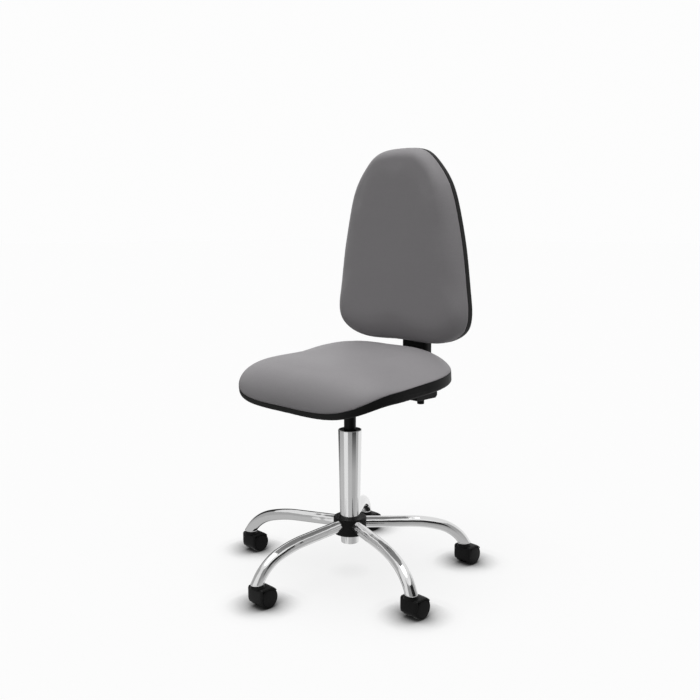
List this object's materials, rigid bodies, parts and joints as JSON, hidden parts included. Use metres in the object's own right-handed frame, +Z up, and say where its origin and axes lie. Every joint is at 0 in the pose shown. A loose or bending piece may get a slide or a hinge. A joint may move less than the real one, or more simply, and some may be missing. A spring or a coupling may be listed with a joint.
{
  "type": "armless office chair",
  "caption": "Armless swivel chair with padded seat and egg-shaped back, gas lift column, reclining height-adjustable back and bent chrome tube base on twin-wheel castors.",
  "frame": {"origin": "on the floor, on the axis of the column", "axes": "+Z up, the chair faces -Y, +X is the left of the person who sits on it"},
  "size_m": [0.5812, 0.5755, 0.9981],
  "materials": {
    "chrome": "polished",
    "collar_chrome": "satin",
    "black_plastic": "matte",
    "black_knob": "matte",
    "castor_plastic": "matte",
    "castor_wheel": "matte",
    "steel": "satin",
    "black_steel": "satin",
    "plywood": "matte",
    "leather": "satin"
  },
  "bodies": {
    "base": {"hub": "black_plastic", "stem_sockets": "collar_chrome", "column_tube": "chrome", "guide_bush": "black_plastic", "thrust_bearing": "steel", "arm_1": "chrome", "arm_2": "chrome", "arm_3": "chrome", "arm_4": "chrome", "arm_5": "chrome"},
    "lift_rod": {"piston_rod": "steel", "rod_clip": "steel"},
    "seat": {"gas_cylinder": "black_steel", "mechanism": "black_steel", "seat_board": "plywood", "seat_shell": "black_plastic", "seat_cushion": "leather", "seat_bolts": "steel", "arm_inserts": "steel", "back_arm": "black_steel", "recline_housing": "black_plastic", "hinge_pin": "black_steel", "recline_spring": "steel"},
    "release_pin": {"release_pin": "steel"},
    "lift_lever": {"lift_lever": "steel", "lever_grip": "black_knob"},
    "tension_knob": {"tension_knob": "black_knob"},
    "upright": {"upright_bar": "black_steel", "upright_cover": "black_plastic"},
    "back": {"height_slide": "black_plastic", "back_board": "plywood", "back_shell": "black_plastic", "back_cushion": "leather", "back_bolts": "steel"},
    "height_knob": {"height_knob": "black_knob"},
    "castor_1": {"castor_1_hood": "castor_plastic", "castor_1_stem": "steel", "castor_1_axle": "steel"},
    "castor_1_left_wheel": {"castor_1_wheel_left": "castor_wheel"},
    "castor_1_right_wheel": {"castor_1_wheel_right": "castor_wheel"},
    "castor_2": {"castor_2_hood": "castor_plastic", "castor_2_stem": "steel", "castor_2_axle": "steel"},
    "castor_2_left_wheel": {"castor_2_wheel_left": "castor_wheel"},
    "castor_2_right_wheel": {"castor_2_wheel_right": "castor_wheel"},
    "castor_3": {"castor_3_hood": "castor_plastic", "castor_3_stem": "steel", "castor_3_axle": "steel"},
    "castor_3_left_wheel": {"castor_3_wheel_left": "castor_wheel"},
    "castor_3_right_wheel": {"castor_3_wheel_right": "castor_wheel"},
    "castor_4": {"castor_4_hood": "castor_plastic", "castor_4_stem": "steel", "castor_4_axle": "steel"},
    "castor_4_left_wheel": {"castor_4_wheel_left": "castor_wheel"},
    "castor_4_right_wheel": {"castor_4_wheel_right": "castor_wheel"},
    "castor_5": {"castor_5_hood": "castor_plastic", "castor_5_stem": "steel", "castor_5_axle": "steel"},
    "castor_5_left_wheel": {"castor_5_wheel_left": "castor_wheel"},
    "castor_5_right_wheel": {"castor_5_wheel_right": "castor_wheel"}
  },
  "joints": [
    {"name": "seat_swivel", "type": "hinge", "parent": "base", "child": "lift_rod", "pos_m": [0, 0, 0.1], "axis": [0, 0, 1], "continuous": true},
    {"name": "seat_lift", "type": "slide", "parent": "lift_rod", "child": "seat", "axis": [0, 0, 1], "range_m": [-0.025, 0.095]},
    {"name": "lever_lift", "type": "hinge", "parent": "seat", "child": "lift_lever", "pos_m": [-0.05, 0, 0.453], "axis": [0, 1, 0], "range_deg": [0, 3.5], "stiffness_Nm_per_rad": 6, "springref_deg": -6.88},
    {"name": "pin_press", "type": "slide", "parent": "seat", "child": "release_pin", "axis": [0, 0, -1], "range_m": [0, 0.0031]},
    {"name": "back_recline", "type": "hinge", "parent": "seat", "child": "upright", "pos_m": [0, 0.235, 0.41], "axis": [-1, 0, 0], "range_deg": [0, 18], "stiffness_Nm_per_rad": 45, "springref_deg": -22.92, "deforming": ["recline_spring"]},
    {"name": "tension_turn", "type": "hinge", "parent": "seat", "child": "tension_knob", "pos_m": [0, 0.2535, 0.38], "axis": [0, 0, 1], "range_deg": [-360, 360]},
    {"name": "back_height", "type": "slide", "parent": "upright", "child": "back", "axis": [0, 0, 1], "range_m": [0, 0.06]},
    {"name": "height_clamp_turn", "type": "hinge", "parent": "back", "child": "height_knob", "pos_m": [0, 0.26, 0.643], "axis": [0, 1, 0], "range_deg": [-360, 360]},
    {"name": "castor_1_swivel", "type": "hinge", "parent": "base", "child": "castor_1", "pos_m": [0, -0.281, 0.05], "axis": [0, 0, 1], "continuous": true},
    {"name": "castor_1_left_roll", "type": "hinge", "parent": "castor_1", "child": "castor_1_left_wheel", "pos_m": [0, -0.265, 0.0232], "axis": [1, 0, 0], "continuous": true},
    {"name": "castor_1_right_roll", "type": "hinge", "parent": "castor_1", "child": "castor_1_right_wheel", "pos_m": [0, -0.265, 0.0232], "axis": [1, 0, 0], "continuous": true},
    {"name": "castor_2_swivel", "type": "hinge", "parent": "base", "child": "castor_2", "pos_m": [0.26725, -0.08683, 0.05], "axis": [0, 0, 1], "continuous": true},
    {"name": "castor_2_left_roll", "type": "hinge", "parent": "castor_2", "child": "castor_2_left_wheel", "pos_m": [0.26725, -0.07083, 0.0232], "axis": [1, 0, 0], "continuous": true},
    {"name": "castor_2_right_roll", "type": "hinge", "parent": "castor_2", "child": "castor_2_right_wheel", "pos_m": [0.26725, -0.07083, 0.0232], "axis": [1, 0, 0], "continuous": true},
    {"name": "castor_3_swivel", "type": "hinge", "parent": "base", "child": "castor_3", "pos_m": [0.16517, 0.22733, 0.05], "axis": [0, 0, 1], "continuous": true},
    {"name": "castor_3_left_roll", "type": "hinge", "parent": "castor_3", "child": "castor_3_left_wheel", "pos_m": [0.16517, 0.24333, 0.0232], "axis": [1, 0, 0], "continuous": true},
    {"name": "castor_3_right_roll", "type": "hinge", "parent": "castor_3", "child": "castor_3_right_wheel", "pos_m": [0.16517, 0.24333, 0.0232], "axis": [1, 0, 0], "continuous": true},
    {"name": "castor_4_swivel", "type": "hinge", "parent": "base", "child": "castor_4", "pos_m": [-0.16517, 0.22733, 0.05], "axis": [0, 0, 1], "continuous": true},
    {"name": "castor_4_left_roll", "type": "hinge", "parent": "castor_4", "child": "castor_4_left_wheel", "pos_m": [-0.16517, 0.24333, 0.0232], "axis": [1, 0, 0], "continuous": true},
    {"name": "castor_4_right_roll", "type": "hinge", "parent": "castor_4", "child": "castor_4_right_wheel", "pos_m": [-0.16517, 0.24333, 0.0232], "axis": [1, 0, 0], "continuous": true},
    {"name": "castor_5_swivel", "type": "hinge", "parent": "base", "child": "castor_5", "pos_m": [-0.26725, -0.08683, 0.05], "axis": [0, 0, 1], "continuous": true},
    {"name": "castor_5_left_roll", "type": "hinge", "parent": "castor_5", "child": "castor_5_left_wheel", "pos_m": [-0.26725, -0.07083, 0.0232], "axis": [1, 0, 0], "continuous": true},
    {"name": "castor_5_right_roll", "type": "hinge", "parent": "castor_5", "child": "castor_5_right_wheel", "pos_m": [-0.26725, -0.07083, 0.0232], "axis": [1, 0, 0], "continuous": true}
  ],
  "couplings": [
    {"joint": "pin_press", "follows": "lever_lift", "m_per_rad": 0.05}
  ]
}
